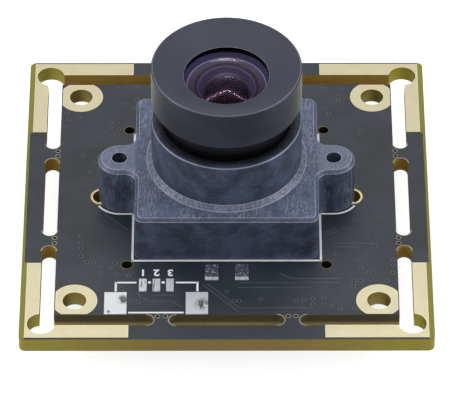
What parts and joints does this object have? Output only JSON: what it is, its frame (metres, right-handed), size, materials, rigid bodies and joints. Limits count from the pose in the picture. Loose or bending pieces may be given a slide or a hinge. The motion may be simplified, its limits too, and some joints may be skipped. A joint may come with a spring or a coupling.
{
  "type": "camera module",
  "caption": "Square camera board with a break-away frame, a die-cast holder and a screw-in lens that turns to focus.",
  "frame": {"origin": "centre of the board's front face, on the lens axis and in the plane of the four 28 mm screw holes", "axes": "+Z looks out of the lens, +Y points to the side of the cable socket on the back, +X to the right seen from the front"},
  "size_m": [0.038, 0.038, 0.0213],
  "materials": {
    "board_laminate": "satin dark mask over glass-fibre laminate",
    "gold_plating": "thin gold over nickel, satin",
    "tinned_copper": "solder-coated, bright",
    "holder_casting": "die-cast, swirled blue-grey coat with bare edges",
    "screw_steel": "nickel-plated",
    "filter_glass": "coated blue-green",
    "sensor_ceramic": "matt",
    "silicon": "polished, iridescent",
    "cover_glass": "clear",
    "barrel_anodised": "dark grey anodised, fine turning marks",
    "coated_glass": "polished with a violet coating",
    "optical_glass": "polished",
    "black_anodised": "matt black",
    "package_resin": "moulded, fine grain",
    "tinned_leads": "tinned",
    "crystal_lid_metal": "plated lid",
    "crystal_ceramic": "matt",
    "ferrite": "matt",
    "capacitor_ceramic": "matt",
    "resistor_film": "satin",
    "socket_resin": "moulded, off-white"
  },
  "bodies": {
    "board": {"circuit_board": "board_laminate", "front_gold_lands": "gold_plating", "front_tinned_pads": "tinned_copper", "lens_holder": "holder_casting", "holder_screws": "screw_steel", "infrared_filter": "filter_glass", "sensor_package": "sensor_ceramic", "sensor_die": "silicon", "sensor_cover_glass": "cover_glass", "image_processor": "package_resin", "flash_memory": "package_resin", "flash_leads": "tinned_leads", "crystal_base": "crystal_ceramic", "crystal_lid": "crystal_lid_metal", "regulator_bodies": "package_resin", "regulator_leads": "tinned_leads", "power_inductor": "ferrite", "inductor_terminals": "tinned_leads", "capacitor_bodies": "capacitor_ceramic", "capacitor_end_caps": "tinned_leads", "resistor_bodies": "resistor_film", "resistor_end_caps": "tinned_leads", "socket_housing": "socket_resin", "socket_contacts": "tinned_leads", "socket_anchor_tabs": "tinned_leads"},
    "optical_stack": {"front_lens": "coated_glass", "aperture_spacer": "black_anodised", "rear_lens": "optical_glass"},
    "barrel": {"lens_barrel": "barrel_anodised", "lens_retaining_ring": "black_anodised"}
  },
  "joints": [
    {"name": "focus_travel", "type": "slide", "parent": "board", "child": "optical_stack", "axis": [0, 0, 1], "range_m": [-0.0005, 0.001]},
    {"name": "focus_turn", "type": "hinge", "parent": "optical_stack", "child": "barrel", "pos_m": [0, 0, 0.01], "axis": [0, 0, 1], "range_deg": [-360, 720]}
  ],
  "couplings": [
    {"joint": "focus_turn", "follows": "focus_travel", "rad_per_m": 12566}
  ]
}
